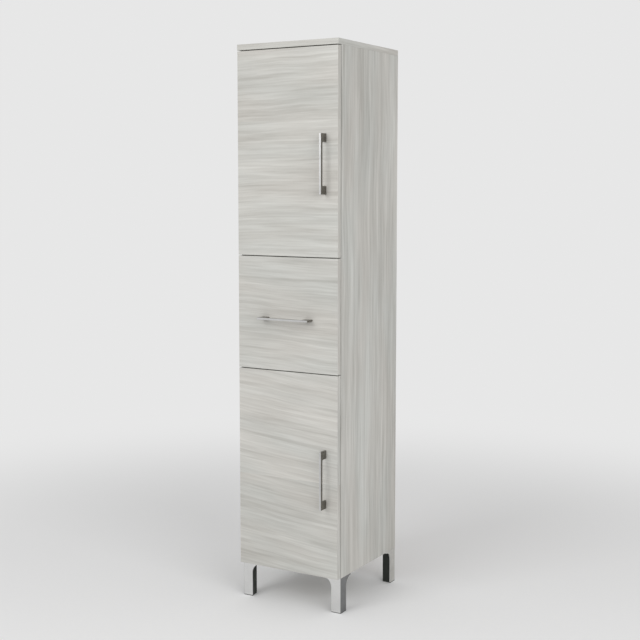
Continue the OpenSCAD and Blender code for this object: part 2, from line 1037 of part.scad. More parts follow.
// Handle along +X, standing off the plane y = 0 towards -Y
module bar_handle() {
    difference() {
        translate([-handle_len / 2, -handle_projection, -handle_w / 2])
            cube([handle_len, handle_projection, handle_w]);
        rotate([180, 0, 0])
            translate([handle_foot - handle_len / 2, 0, -handle_w])
                linear_extrude(2 * handle_w)
                    throat(handle_len - 2 * handle_foot, handle_projection - handle_bar_d, handle_fillet);
        translate([handle_foot - handle_len / 2, 0, -handle_w])
            cube([handle_len - 2 * handle_foot, 1, 2 * handle_w]);
        for (k = handle_screw_at)
            rod([k, eps, 0], [0, -1, 0], handle_screw_r + fit, handle_screw_in + 1);
    }
}

module door_handle(z) {
    color(chrome)
        translate([half_w - handle_inset, front_y, z])
            rotate([0, 90, 0])
                bar_handle();
}

module upper_handle() {
    door_handle(upper_handle_z);
}

module lower_handle() {
    door_handle(lower_handle_z);
}

module drawer_handle() {
    color(chrome)
        translate([0, front_y, drawer_handle_z])
            bar_handle();
}

// Machine screw from the back of a front into a handle
module handle_screw() {
    rotate([90, 0, 0])
        pan_screw(handle_screw_r, front_t + handle_screw_in, handle_head_r, handle_head_t);
}

module door_handle_screws(z) {
    color(steel)
        for (k = handle_screw_at)
            translate([half_w - handle_inset, front_back_y, z + k])
                handle_screw();
}

module upper_handle_screws() {
    door_handle_screws(upper_handle_z);
}

module lower_handle_screws() {
    door_handle_screws(lower_handle_z);
}

module drawer_handle_screws() {
    color(steel)
        for (k = handle_screw_at)
            translate([k, front_back_y, drawer_handle_z])
                handle_screw();
}

// Domed buffer on the back of a front
module bumper(x, z) {
    translate([x, front_back_y, z])
        rotate([-90, 0, 0])
            cylinder(r1 = bumper_r, r2 = bumper_r - 1, h = bumper_t);
}

module door_bumpers(z, h) {
    color(white)
        for (bz = [z + 30, z + h - 30])
            bumper(half_w - bumper_edge, bz);
}

module upper_bumpers() {
    door_bumpers(upper_door_z, upper_door_h);
}

module lower_bumpers() {
    door_bumpers(lower_door_z, lower_door_h);
}

module drawer_bumpers() {
    color(white)
        for (bz = [drawer_front_z + 30, drawer_front_z + drawer_front_h - 30])
            both_sides()
                bumper(half_w - bumper_edge, bz);
}

// Drawer

drawer_cam_zs = [drawer_z + 40, drawer_z + drawer_side_h - 40];
drawer_cam_t = drawer_board_t - 1.5;

module drawer_front() {
    color(wood)
        difference() {
            front_board(drawer_front_z, drawer_front_h);
            for (k = handle_screw_at)
                handle_hole(k, drawer_handle_z);
            // Groove of the drawer bottom
            span([-drawer_inner_w / 2 - groove_depth, front_back_y - groove_depth, drawer_bottom_z - panel_play],
                 [drawer_inner_w / 2 + groove_depth, front_back_y + 1,
                  drawer_bottom_z + hardboard_t + panel_play]);
            both_sides()
                for (z = drawer_cam_zs)
                    rod([drawer_x - drawer_board_t / 2, front_back_y + eps, z], [0, -1, 0],
                        bolt_thread_r + fit, bolt_thread_len + 0.5);
        }
}

module drawer_side() {
    difference() {
        span([-drawer_x, front_back_y, drawer_z], [-drawer_x + drawer_board_t, drawer_rear_y, drawer_z + drawer_side_h]);
        span([-drawer_inner_w / 2 - groove_depth, front_back_y - 1, drawer_bottom_z - panel_play],
             [-drawer_inner_w / 2 + 1, drawer_rear_y + 1, drawer_bottom_z + hardboard_t + panel_play]);
        for (z = drawer_cam_zs) {
            rod([-drawer_inner_w / 2 + eps, front_back_y + cam_reach, z], [-1, 0, 0], cam_r, drawer_cam_t);
            rod([-drawer_x + drawer_board_t / 2, front_back_y - eps, z], [0, 1, 0], bolt_bore_r, cam_reach);
            rod([-drawer_x - eps, drawer_rear_y - drawer_board_t / 2, z], [1, 0, 0], chip_r + fit,
                drawer_board_t + 1);
        }
        for (y = drawer_screw_ys)
            rod([-drawer_x - eps, y, runner_z + drawer_member_screw_z], [1, 0, 0], chip_r + fit, 9.5);
    }
}

module drawer_side_left() {
    color(white)
        drawer_side();
}

module drawer_side_right() {
    color(white)
        mirror([1, 0, 0])
            drawer_side();
}

module drawer_back() {
    color(white)
        difference() {
            span([-drawer_inner_w / 2, drawer_rear_y - drawer_board_t, drawer_bottom_z + hardboard_t + panel_play],
                 [drawer_inner_w / 2, drawer_rear_y, drawer_z + drawer_side_h]);
            both_sides()
                for (z = drawer_cam_zs)
                    rod([-drawer_inner_w / 2 - eps, drawer_rear_y - drawer_board_t / 2, z], [1, 0, 0],
                        chip_r + fit, chip_in_back + 0.5);
        }
}

module drawer_bottom() {
    color(white)
        span([-drawer_inner_w / 2 - groove_depth + panel_play, front_back_y - groove_depth + panel_play, drawer_bottom_z],
             [drawer_inner_w / 2 + groove_depth - panel_play, drawer_rear_y, drawer_bottom_z + hardboard_t]);
}

// Cam of a drawer side: thinner, its slot facing into the drawer
module drawer_cam() {
    difference() {
        cylinder(r = cam_r - fit, h = drawer_cam_t - 0.3);
        translate([-5, -0.8, -eps])
            cube([10, 1.6, 1.6]);
        translate([-0.8, -5, -eps])
            cube([1.6, 10, 1.6]);
        translate([0, 0, drawer_board_t / 2])
            rotate([90, 0, 0])
                cylinder(r = cam_bolt_r + 0.5, h = cam_r + 1);
        translate([0, 0, drawer_board_t / 2])
            sphere(r = cam_bolt_r + 0.5);
    }
}

module drawer_cams() {
    color(steel)
        both_sides()
            for (z = drawer_cam_zs)
                translate([-drawer_inner_w / 2, front_back_y + cam_reach, z])
                    rotate([0, -90, 0])
                        drawer_cam();
}

module drawer_cam_bolts() {
    color(steel)
        both_sides()
            for (z = drawer_cam_zs)
                translate([-drawer_x + drawer_board_t / 2, front_back_y - bolt_thread_len, z])
                    rotate([-90, 0, 0])
                        cam_bolt();
}

// Screws through the drawer's sides into its back, and through its runners
drawer_member_screw_z = 20.5;

module drawer_screws() {
    color(steel)
        both_sides() {
            for (z = drawer_cam_zs)
                translate([-drawer_x, drawer_rear_y - drawer_board_t / 2, z])
                    rotate([0, 90, 0])
                        pan_screw(chip_r, drawer_board_t + chip_in_back, 3.4, 1.4);
            for (y = drawer_screw_ys)
                translate([-drawer_x - member_t, y, runner_z + drawer_member_screw_z])
                    rotate([0, 90, 0])
                        pan_screw(chip_r, 9 + member_t, 3.2, 1);
        }
}

// Runners, drawn for the left side; x = 0 on the cabinet's side, z = 0 at the runner's foot
module runner_frame() {
    translate([-inner_x, 0, runner_z])
        children();
}

module cabinet_member() {
    difference() {
        union() {
            span([0, member_front_y, 0], [member_t, member_front_y + runner_len, cabinet_member_h]);
            span([0, member_front_y, 0], [cabinet_flange_w, member_front_y + runner_len, member_t]);
            span([cabinet_flange_w - member_t, member_front_y, 0],
                 [cabinet_flange_w, member_front_y + runner_len, cabinet_lip_h]);
            span([0, member_front_y + 2 * roller_end, cabinet_member_h - member_t],
                 [cabinet_flange_w - 1.6, member_front_y + runner_len, cabinet_member_h]);
            // Stop at the rear end
            span([0, member_front_y + runner_len - member_t, 0],
                 [cabinet_flange_w, member_front_y + runner_len, cabinet_member_h]);
            // Axle of the front roller, with its shoulder and its riveted head
            rod([eps, cabinet_roller_y, cabinet_roller_z], [1, 0, 0], axle_r, roller_s + roller_w + 1);
            rod([eps, cabinet_roller_y, cabinet_roller_z], [1, 0, 0], axle_r + 1.6, roller_s - 0.2);
            rod([roller_s + roller_w + 0.2, cabinet_roller_y, cabinet_roller_z], [1, 0, 0], axle_r + 1.2, 0.8);
        }
        for (y = member_screw_ys)
            rod([-1, y, member_screw_z], [1, 0, 0], chip_r + 0.2, member_t + 2);
    }
}

// The drawer's member, in the same frame, wraps the lower edge of the drawer's side
module drawer_member() {
    difference() {
        union() {
            span([runner_space - member_t, front_back_y + 1, drawer_ledge_z],
                 [runner_space, drawer_rear_y, drawer_flange_z + member_t]);
            span([runner_space - member_t, front_back_y + 1, drawer_ledge_z],
                 [runner_space + drawer_board_t, drawer_rear_y, drawer_ledge_z + member_t]);
            span([2.2, front_back_y + 3, drawer_flange_z], [runner_space, drawer_rear_y, drawer_flange_z + member_t]);
            // Axle of the rear roller
            rod([runner_space - eps, drawer_roller_y, drawer_roller_z], [-1, 0, 0], axle_r,
                runner_space - roller_s + 0.8);
            rod([runner_space - eps, drawer_roller_y, drawer_roller_z], [-1, 0, 0], axle_r + 1.6,
                runner_space - roller_s - roller_w - 0.2);
            rod([roller_s - 0.2, drawer_roller_y, drawer_roller_z], [-1, 0, 0], axle_r + 1.2, 0.6);
        }
        for (y = drawer_screw_ys)
            rod([runner_space - member_t - 1, y, drawer_member_screw_z], [1, 0, 0], chip_r + 0.2, member_t + 2);
    }
}

module roller(y, z) {
    translate([roller_s, y, z])
        rotate([0, 90, 0])
            rotate_extrude()
                polygon([
                    [axle_r + pivot_fit, 0], [roller_r - 0.8, 0], [roller_r, 0.8], [roller_r, roller_w - 0.8],
                    [roller_r - 0.8, roller_w], [axle_r + pivot_fit, roller_w]
                ]);
}

module runner_cabinet_left() {
    color(white)
        runner_frame()
            cabinet_member();
}

module runner_cabinet_right() {
    color(white)
        mirror([1, 0, 0])
            runner_frame()
                cabinet_member();
}

module runner_screws() {
    color(steel)
        both_sides()
            runner_frame()
                for (y = member_screw_ys)
                    translate([member_t, y, member_screw_z])
                        rotate([0, -90, 0])
                            pan_screw(chip_r, 11 + member_t, 3.2, 0.8);
}

module runner_drawer_left() {
    color(white)
        runner_frame()
            drawer_member();
}

module runner_drawer_right() {
    color(white)
        mirror([1, 0, 0])
            runner_frame()
                drawer_member();
}

module roller_cabinet_left() {
    color(white)
        runner_frame()
            roller(cabinet_roller_y, cabinet_roller_z);
}

module roller_cabinet_right() {
    color(white)
        mirror([1, 0, 0])
            runner_frame()
                roller(cabinet_roller_y, cabinet_roller_z);
}

module roller_drawer_left() {
    color(white)
        runner_frame()
            roller(drawer_roller_y, drawer_roller_z);
}

module roller_drawer_right() {
    color(white)
        mirror([1, 0, 0])
            runner_frame()
                roller(drawer_roller_y, drawer_roller_z);
}

side_left();
side_right();
lid();
bottom_panel();
divider_lower();
divider_upper();
back_panel();
lower_shelf();
upper_shelf_low();
upper_shelf_high();
shelf_pins();
leg_front_left();
leg_front_right();
leg_rear_left();
leg_rear_right();
leg_pads();
leg_screws();
cam_locks();
cam_bolts();
dowels();
hinge_plates();
hinge_arms();
hinge_plate_screws();
upper_door();
upper_handle();
upper_handle_screws();
upper_bumpers();
upper_hinge_cups();
upper_cup_screws();
upper_outer_links();
upper_inner_links();
lower_door();
lower_handle();
lower_handle_screws();
lower_bumpers();
lower_hinge_cups();
lower_cup_screws();
lower_outer_links();
lower_inner_links();
drawer_front();
drawer_handle();
drawer_handle_screws();
drawer_bumpers();
drawer_side_left();
drawer_side_right();
drawer_back();
drawer_bottom();
drawer_cams();
drawer_cam_bolts();
drawer_screws();
runner_cabinet_left();
runner_cabinet_right();
runner_screws();
runner_drawer_left();
runner_drawer_right();
roller_cabinet_left();
roller_cabinet_right();
roller_drawer_left();
roller_drawer_right();
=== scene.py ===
"""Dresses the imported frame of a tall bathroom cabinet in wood-look board and bright metal.

The frame's own nodes keep their places. Boards and metal parts are shown by copies with eased
edges, screws get their driver recess, and every surface gets a node material.
"""

import json
import math

import bmesh
import bpy
from bpy.props import FloatProperty, FloatVectorProperty, PointerProperty
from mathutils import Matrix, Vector


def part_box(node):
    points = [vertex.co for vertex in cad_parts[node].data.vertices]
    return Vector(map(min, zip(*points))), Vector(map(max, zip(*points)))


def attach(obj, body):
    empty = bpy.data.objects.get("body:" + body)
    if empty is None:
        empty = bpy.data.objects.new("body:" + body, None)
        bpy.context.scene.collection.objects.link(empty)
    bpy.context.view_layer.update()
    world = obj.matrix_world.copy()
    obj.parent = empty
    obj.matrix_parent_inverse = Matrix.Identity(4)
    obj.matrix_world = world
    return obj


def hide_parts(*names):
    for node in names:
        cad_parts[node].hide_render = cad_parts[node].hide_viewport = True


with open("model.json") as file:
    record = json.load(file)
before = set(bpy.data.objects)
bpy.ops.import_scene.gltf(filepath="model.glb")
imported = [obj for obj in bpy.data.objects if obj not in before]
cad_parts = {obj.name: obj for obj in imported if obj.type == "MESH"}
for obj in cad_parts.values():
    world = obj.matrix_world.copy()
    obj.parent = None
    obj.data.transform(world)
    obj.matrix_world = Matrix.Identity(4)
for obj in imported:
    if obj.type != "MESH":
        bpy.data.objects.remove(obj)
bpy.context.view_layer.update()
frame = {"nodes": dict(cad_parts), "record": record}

bl_info = {
    "name": "Tall Bathroom Cabinet",
    "version": (1, 0, 0),
    "blender": (4, 5, 0),
    "location": "View3D > Sidebar > Cabinet",
    "description": "Dresses the frame of a tall wood-look bathroom cabinet",
    "category": "Object",
}

BODY_OF = {
    node: body
    for body, nodes in frame["record"]["behaviour"]["bodies"].items()
    for node in nodes
}

# Nodes

SIDES = ("side_left", "side_right")
FLAT_BOARDS = (
    "lid", "bottom_panel", "divider_lower", "divider_upper",
    "lower_shelf", "upper_shelf_low", "upper_shelf_high",
)
DRAWER_BOARDS = ("drawer_side_left", "drawer_side_right", "drawer_back")
HARDBOARDS = ("back_panel", "drawer_bottom")
HANDLES = ("upper_handle", "drawer_handle", "lower_handle")
LEGS = ("leg_front_left", "leg_front_right", "leg_rear_left", "leg_rear_right")
RUNNERS = (
    "runner_cabinet_left", "runner_cabinet_right", "runner_drawer_left", "runner_drawer_right",
)
ROLLERS = (
    "roller_cabinet_left", "roller_cabinet_right", "roller_drawer_left", "roller_drawer_right",
)
BUMPERS = ("upper_bumpers", "lower_bumpers", "drawer_bumpers")
HINGE_PARTS = (
    "hinge_plates", "hinge_arms",
    "upper_hinge_cups", "upper_outer_links", "upper_inner_links",
    "lower_hinge_cups", "lower_outer_links", "lower_inner_links",
)
HANDLE_SCREWS = ("upper_handle_screws", "lower_handle_screws", "drawer_handle_screws")
CUP_SCREWS = ("upper_cup_screws", "lower_cup_screws")
CAM_FITTINGS = ("cam_locks", "cam_bolts", "drawer_cams", "drawer_cam_bolts")

# Fixed sizes, in metres

SAME_POINT = 0.000002  # corners this near to each other are one
ON_SIDE = 0.00002  # a corner this near to a side of its node's box lies on that side
HARDBOARD_EASE = 0.0003
FOILED_EASE = 0.0006
CORE_EASE = 0.0003
HINGE_EASE = 0.00015
SHELF_PIN_EASE = 0.0003
RUNNER_EASE = 0.0002
ROLLER_EASE = 0.0003
BUMPER_EASE = 0.0004
CAM_EASE = 0.0002
DOWEL_EASE = 0.0006
CARCASS_EASE = 0.6  # share of the fronts' ease on the carcass boards, the lid apart

# The length and the depth of each screw's cross recess
HANDLE_RECESS = (0.0046, 0.0014)
CUP_RECESS = (0.0040, 0.0004)
PLATE_RECESS = (0.0048, 0.0010)
RUNNER_RECESS = (0.0036, 0.0005)
DRAWER_RECESS = (0.0036, 0.0006)
LEG_RECESS = (0.0042, 0.0013)
ARM_SHARE = 0.24  # width of a recess's arm, as a share of its length
CROSS_TURN = math.radians(35)
CUP_HEAD = (0.0006, 0.0032)  # thickness of a cup screw's head, and its radius at the seat

# Where each lamp stands, the point that it looks at, its width and its height
KEY_LAMP = ((-0.9, -3.7, 2.8), (0.0, -0.1, 1.2), 2.0, 1.8)
FILL_LAMP = ((3.1, -1.9, 2.35), (0.1, 0.0, 1.2), 2.4, 2.4)
FLOOR_RADIUS = 60
FLOOR_FADE = (0.7, 3.2)  # distances between which the floor turns into the backdrop

# Woodgrain: for each layer its changes per metre along and across the grain, the number that
# sets its noise apart, the noise's detail, and the noise values that become 0 and 1
GRAIN_LAYERS = {
    "sway": (2.3, 2.6, 0.0, 1.0, 0.0, 1.0),
    "ripple": (8.0, 12.0, 3.0, 1.0, 0.0, 1.0),
    "broad": (0.9, 34.0, 7.0, 3.0, 0.30, 0.70),
    "middle": (3.4, 78.0, 11.0, 3.0, 0.30, 0.70),
    "fine": (6.5, 175.0, 17.0, 2.0, 0.30, 0.70),
    "thread": (14.0, 620.0, 23.0, 2.0, 0.30, 0.70),
    "dark line": (2.6, 52.0, 29.0, 1.0, 0.60, 0.74),
    "cloud": (1.6, 4.0, 31.0, 1.0, 0.0, 1.0),
    "pore": (55.0, 1500.0, 37.0, 0.0, 0.66, 0.78),
    "hue": (2.6, 9.0, 41.0, 1.0, 0.35, 0.65),
}
RIPPLE_SHARE = 0.15  # how far the ripple bends the streaks, as a share of the sway
CROSSED = 0.6  # a face crosses the grain when its normal has more than this along it
# Tones go from 0 for dark to 1 for light wood
TONE_OFFSET = 0.09  # taken off the sum of the layers
BAND_SHADE = 0.12  # how much darker the edge bands are
MIDDLE_TONE = 0.45  # the tone that contrast leaves as it is
WARM = (1.012, 0.998, 0.985)
COOL = (0.988, 1.002, 1.0)

# The print on each front. A step is its height, the jump of the print and the change of tone;
# the change of tone is painted shade, darker above the upper door's step and below the lower
# door's
FRONT_PRINTS = {
    "upper_door": {"place": (0.31, 0.12, 1.7), "tilt": -0.01, "tone": 1.03,
                   "steps": ((1.557, 0.37, -0.10),)},
    "drawer_front": {"place": (1.73, 0.55, 5.1), "tilt": 0.03},
    "lower_door": {"place": (2.61, 0.08, 9.4), "tilt": 0.075, "tone": 0.99,
                   "steps": ((0.42, 0.29, 0.14),)},
}

# Colours of the hidden and the plain parts
RAW_FIBRE = ((0.205, 0.135, 0.080), (0.370, 0.262, 0.168))
LACQUER = ((0.68, 0.68, 0.66), (0.72, 0.72, 0.70))
BEECH = ((0.42, 0.27, 0.14), (0.62, 0.44, 0.26))
FOIL = (0.70, 0.70, 0.68)
# Black plastic of the leg pads and cores, made as dark as the shade in the leg's hollow: real
# black plastic and painted shade both
CORE_PLASTIC_AND_SHADE = (0.012, 0.016, 0.011)
ENAMEL = (0.78, 0.78, 0.76)
ROLLER = (0.66, 0.66, 0.63)
BUMPER = (0.74, 0.74, 0.72)
LEG_POLISH = 1.27  # how much brighter the metal of the legs is than that of the handles

# Metal textures, in changes per metre
BRUSHED_ALONG = 25.0
BRUSHED_ACROSS = 2600.0
UNBRUSHED = 900.0
SMUDGES = 38.0
DENTS = 0.00001  # depth of the fine texture of metal
TEXTURE_SHINE = 0.06  # how far that texture varies the roughness
# SIDE_WEAR and TURNED belong to the painted shade on the metal's sides
SIDE_WEAR = 3  # how many times more the tone varies on the darker sides
TURNED = (-0.98, -0.9)  # y of a normal that faces the front, and of one that is on a side


# Sizes and colours


class LaminateSettings(bpy.types.PropertyGroup):
    """Printed woodgrain of the fronts and the carcass"""

    light: FloatVectorProperty(
        name="Light wood", description="Colour of the pale growth between the streaks",
        subtype="COLOR", size=3, min=0, max=1, default=(0.655, 0.650, 0.621),
    )
    dark: FloatVectorProperty(
        name="Dark streak", description="Colour of the darkest streaks",
        subtype="COLOR", size=3, min=0, max=1, default=(0.430, 0.420, 0.391),
    )
    side_tone: FloatProperty(
        name="Side tone", description="How much of the fronts' brightness the carcass boards have",
        subtype="FACTOR", min=0.5, max=1, default=0.95,
    )
    roughness: FloatProperty(
        name="Roughness", description="Roughness of the melamine surface",
        subtype="FACTOR", min=0, max=1, default=0.42,
    )
    sway: FloatProperty(
        name="Sway", description="How far the streaks wander to the side",
        subtype="DISTANCE", unit="LENGTH", min=0, max=0.2, default=0.034,
    )
    grain_depth: FloatProperty(
        name="Grain depth", description="Depth of the pressed grain",
        subtype="DISTANCE", unit="LENGTH", min=0, max=0.001, default=0.00006,
    )
    edge_ease: FloatProperty(
        name="Eased edge", description="Width of the eased edge of a board",
        subtype="DISTANCE", unit="LENGTH", min=0.0001, max=0.003, default=0.0007,
    )


class MetalSettings(bpy.types.PropertyGroup):
    """Handles, legs, hinges and screws"""

    bright: FloatVectorProperty(
        name="Bright metal", description="Colour of the polished handles and legs",
        subtype="COLOR", size=3, min=0, max=1, default=(0.60, 0.60, 0.595),
    )
    # Painted shade: the faces of the handles that turn from the front get this darker colour
    painted_side_shade: FloatVectorProperty(
        name="Painted side shade", description="Colour of the darker sides of the handles",
        subtype="COLOR", size=3, min=0, max=1, default=(0.215, 0.205, 0.185),
    )
    # Painted shade: the faces of the front legs that turn from the front get this darker colour
    painted_leg_side_shade: FloatVectorProperty(
        name="Leg side", description="Colour of the darker sides of the front legs",
        subtype="COLOR", size=3, min=0, max=1, default=(0.222, 0.225, 0.227),
    )
    nickel: FloatVectorProperty(
        name="Nickel", description="Colour of the nickel plated hinges",
        subtype="COLOR", size=3, min=0, max=1, default=(0.60, 0.59, 0.56),
    )
    zinc: FloatVectorProperty(
        name="Zinc", description="Colour of the zinc plated screws and cams",
        subtype="COLOR", size=3, min=0, max=1, default=(0.56, 0.57, 0.59),
    )
    edge_ease: FloatProperty(
        name="Eased edge", description="Width of the eased edge of a handle or leg",
        subtype="DISTANCE", unit="LENGTH", min=0.00005, max=0.002, default=0.0004,
    )


class StageSettings(bpy.types.PropertyGroup):
    """Floor, light and camera"""

    floor: FloatVectorProperty(
        name="Floor", description="Colour of the floor near the cabinet",
        subtype="COLOR", size=3, min=0, max=1, default=(0.86, 0.86, 0.86),
    )
    backdrop: FloatVectorProperty(
        name="Backdrop", description="Colour of the far floor and of the background",
        subtype="COLOR", size=3, min=0, max=1, default=(0.80, 0.80, 0.80),
    )
    key_power: FloatProperty(
        name="Key light", description="Power of the key light, in watts",
        unit="POWER", min=0, default=45.0,
    )
    fill_power: FloatProperty(
        name="Fill light", description="Power of the fill light, in watts",
        unit="POWER", min=0, default=44.0,
    )
    world_strength: FloatProperty(
        name="World light", description="Strength of the soft light from all round",
        min=0, default=0.62,
    )
    camera_place: FloatVectorProperty(
        name="Camera", description="Where the camera stands",
        subtype="TRANSLATION", unit="LENGTH", size=3, default=(1.992, -3.381, 1.352),
    )
    camera_turn: FloatProperty(
        name="Camera turn", description="How far the camera turns to the left",
        subtype="ANGLE", default=math.radians(30.34),
    )
    camera_dip: FloatProperty(
        name="Camera dip", description="How far the camera looks down",
        subtype="ANGLE", default=math.radians(5.69),
    )
    focal_length: FloatProperty(
        name="Focal length", description="Focal length of the lens, in millimetres",
        unit="CAMERA", min=10, default=67.32,
    )
    shift: FloatProperty(
        name="Shift", description="Upward shift of the lens, as a share of the picture",
        min=-0.2, max=0.2, default=-0.022,
    )


# Node helpers


class Nodes:
    """A short way to write down the nodes of a material or of the world"""

    def __init__(self, owner):
        self.tree = owner.node_tree
        self.tree.nodes.clear()

    def add(self, kind, inputs=None, **settings):
        node = self.tree.nodes.new("ShaderNode" + kind)
        for name, value in settings.items():
            setattr(node, name, value)
        for name, value in (inputs or {}).items():
            self.join(value, node.inputs[name])
        return node

    def join(self, value, socket):
        """Links the value to the socket if it is an output, and otherwise writes it there"""
        if isinstance(value, bpy.types.NodeSocket):
            self.tree.links.new(value, socket)
        else:
            socket.default_value = value

    def math(self, operation, a, b=0.0):
        return self.add("Math", {0: a, 1: b}, operation=operation).outputs[0]

    def mix(self, share, a, b):
        node = self.add("Mix", {"Factor": share, "A": a, "B": b}, data_type="FLOAT")
        return node.outputs["Result"]

    def tint(self, share, a, b, blend="MIX"):
        # In a Mix node the colour sockets are inputs 6 and 7 and output 2
        node = self.add("Mix", {0: share, 6: a, 7: b}, data_type="RGBA", blend_type=blend)
        return node.outputs[2]

    def noise(self, vector, scale, detail=2.0, roughness=0.5, distortion=0.0):
        node = self.add(
            "TexNoise",
            {"Vector": vector, "Scale": scale, "Detail": detail, "Roughness": roughness,
             "Distortion": distortion},
        )
        return node.outputs["Fac"]

    def stretched(self, vector, scale):
        return self.add("Mapping", {"Vector": vector, "Scale": scale}).outputs[0]

    def spread(self, value, low, high, to_low=0.0, to_high=1.0):
        node = self.add("MapRange", {"Value": value, "From Min": low, "From Max": high,
                                     "To Min": to_low, "To Max": to_high})
        return node.outputs[0]

    def even(self, noise, to_low=0.0, to_high=1.0):
        """Noise lies mostly between 0.3 and 0.7; this spreads it over the whole range"""
        return self.spread(noise, 0.3, 0.7, to_low, to_high)

    def total(self, *parts):
        """The sum of values, each times its weight"""
        whole = None
        for value, weight in parts:
            part = self.math("MULTIPLY", value, weight)
            whole = part if whole is None else self.math("ADD", whole, part)
        return whole

    def bump(self, height, strength, distance):
        node = self.add("Bump", {"Height": height, "Strength": strength, "Distance": distance})
        return node.outputs[0]

    def looked_at(self):
        """1 for what the camera sees, also mirrored or through glass, and 0 for other rays"""
        rays = self.add("LightPath").outputs
        bent = self.math("MAXIMUM", rays["Is Glossy Ray"], rays["Is Transmission Ray"])
        return self.math("MAXIMUM", rays["Is Camera Ray"], bent)

    def surface(self, inputs):
        shader = self.add("BsdfPrincipled", inputs)
        self.add("OutputMaterial", {"Surface": shader.outputs[0]})


def new_material(name):
    material = bpy.data.materials.new(name)
    material.use_nodes = True
    return material, Nodes(material)


def rgba(colour, tone=1.0):
    return (colour[0] * tone, colour[1] * tone, colour[2] * tone, 1.0)


# Finishes


def laminate(
    name, grain, band, place, tilt=0.0, steps=(), tone=1.0, broadness=0.15, contrast=1.0
):
    """Woodgrain melamine. grain is the axis of the grain on the wide faces, and band the axis
    of the slightly darker edge band on the edges that the grain would run into. place moves the
    print along, across and through the grain, and tilt slants it. Above the height of a step
    the print jumps to the side and its tone changes, and that change of tone is painted shade.
    tone scales the brightness, broadness is the weight of the broad bands, and contrast is how
    strongly the streaks stand out"""
    wood = bpy.context.scene.cabinet_laminate
    material, n = new_material(name)
    coordinates = n.add("TexCoord").outputs
    point = n.add("SeparateXYZ", {0: coordinates["Object"]}).outputs
    facing = n.add("SeparateXYZ", {0: coordinates["Normal"]}).outputs
    crossed = n.math("GREATER_THAN", n.math("ABSOLUTE", facing[grain]), CROSSED)
    side_a, side_b = [letter for letter in "XYZ" if letter != grain]
    other = side_b if band == side_a else side_a
    along = n.mix(crossed, point[grain], point[band])
    across = n.mix(crossed, n.math("ADD", point[side_a], point[side_b]),
                   n.math("ADD", point[grain], point[other]))
    across = n.math("ADD", across, n.math("MULTIPLY", along, tilt))
    along = n.math("ADD", along, place[0])
    across = n.math("ADD", across, place[1])
    # A step's jump moves the print; its change of tone is painted shade
    changes = []
    for height, jump, change in steps:
        above = n.math("GREATER_THAN", point["Z"], height)
        across = n.math("ADD", across, n.math("MULTIPLY", above, jump))
        changes.append(n.math("MULTIPLY", above, change))

    def layer(which, sideways):
        lengthwise, crosswise, seed, detail, low, high = GRAIN_LAYERS[which]
        x, y = n.math("MULTIPLY", along, lengthwise), n.math("MULTIPLY", sideways, crosswise)
        spot = n.add("CombineXYZ", {"X": x, "Y": y, "Z": place[2] + seed}).outputs[0]
        return n.spread(n.noise(spot, 1.0, detail, roughness=0.55), low, high)

    # The streaks sway slowly, and a shorter ripple bends them again
    sway = n.math("SUBTRACT", layer("sway", across), 0.5)
    ripple = n.math("SUBTRACT", layer("ripple", across), 0.5)
    bent = n.math("ADD", across, n.math("MULTIPLY", sway, wood.sway))
    bent = n.math("ADD", bent, n.math("MULTIPLY", ripple, wood.sway * RIPPLE_SHARE))
    fine, thread, pore = layer("fine", bent), layer("thread", bent), layer("pore", bent)

    # Each layer adds to the tone by its weight. Taking broadness off again keeps the mean tone
    # the same for any broadness
    share = n.total((layer("broad", bent), broadness), (layer("middle", bent), 0.42),
                    (fine, 0.34), (thread, 0.14), (layer("cloud", across), 0.25 + broadness),
                    (layer("dark line", bent), -0.30), (pore, -0.10))
    share = n.math("SUBTRACT", share, TONE_OFFSET + broadness)
    share = n.math("SUBTRACT", share, n.math("MULTIPLY", crossed, BAND_SHADE))
    if contrast != 1.0:
        share = n.math("ADD", n.math("MULTIPLY", share, contrast), MIDDLE_TONE * (1 - contrast))
    for change in changes:
        share = n.math("ADD", share, change)
    share = n.math("MAXIMUM", n.math("MINIMUM", share, 1.0), 0.0)

    colour = n.tint(share, rgba(wood.dark, tone), rgba(wood.light, tone))
    patches = n.tint(layer("hue", bent), rgba(WARM), rgba(COOL))
    colour = n.tint(1.0, colour, patches, "MULTIPLY")
    depth = n.total((thread, 0.5), (fine, 0.5), (pore, -0.8))
    n.surface({
        "Base Color": colour,
        "Roughness": n.spread(share, 0.0, 1.0, wood.roughness + 0.07, wood.roughness - 0.03),
        "Normal": n.bump(depth, strength=0.55, distance=wood.grain_depth),
        "Specular IOR Level": 0.35,
    })
    return material


def metal(name, colour, roughness, brushed=None, wear=0.04, sides=None):
    """Plated metal. brushed names the axis along which a fine brushing runs, wear is how far
    the tone varies, and sides is painted shade: the colour of the faces that don't look to the
    front"""
    material, n = new_material(name)
    coordinates = n.add("TexCoord").outputs
    spot = coordinates["Object"]
    if brushed:
        scale = tuple(BRUSHED_ALONG if axis == brushed else BRUSHED_ACROSS for axis in "XYZ")
        texture = n.noise(n.stretched(spot, scale), 1.0, roughness=0.6)
    else:
        texture = n.noise(spot, UNBRUSHED, roughness=0.6)
    smudge = n.noise(spot, SMUDGES, detail=3.0, roughness=0.6)
    worn = n.even(smudge)
    tone = n.tint(worn, rgba(colour, 1.0 - wear), rgba(colour, 1.0 + wear))
    # Faces that turn from the front take the sides colour, which is painted shade
    if sides is not None:
        facing = n.add("SeparateXYZ", {0: coordinates["Normal"]}).outputs["Y"]
        vary = SIDE_WEAR * wear
        side_tone = n.tint(worn, rgba(sides, 1.0 - vary), rgba(sides, 1.0 + vary))
        tone = n.tint(n.spread(facing, *TURNED), tone, side_tone)
    uneven = n.math("MULTIPLY", n.math("SUBTRACT", texture, 0.5), TEXTURE_SHINE)
    n.surface({
        "Base Color": tone,
        "Metallic": 1.0,
        "Roughness": n.math("ADD", n.even(smudge, roughness - 0.03, roughness + 0.04), uneven),
        "Normal": n.bump(texture, strength=0.35, distance=DENTS),
    })
    return material


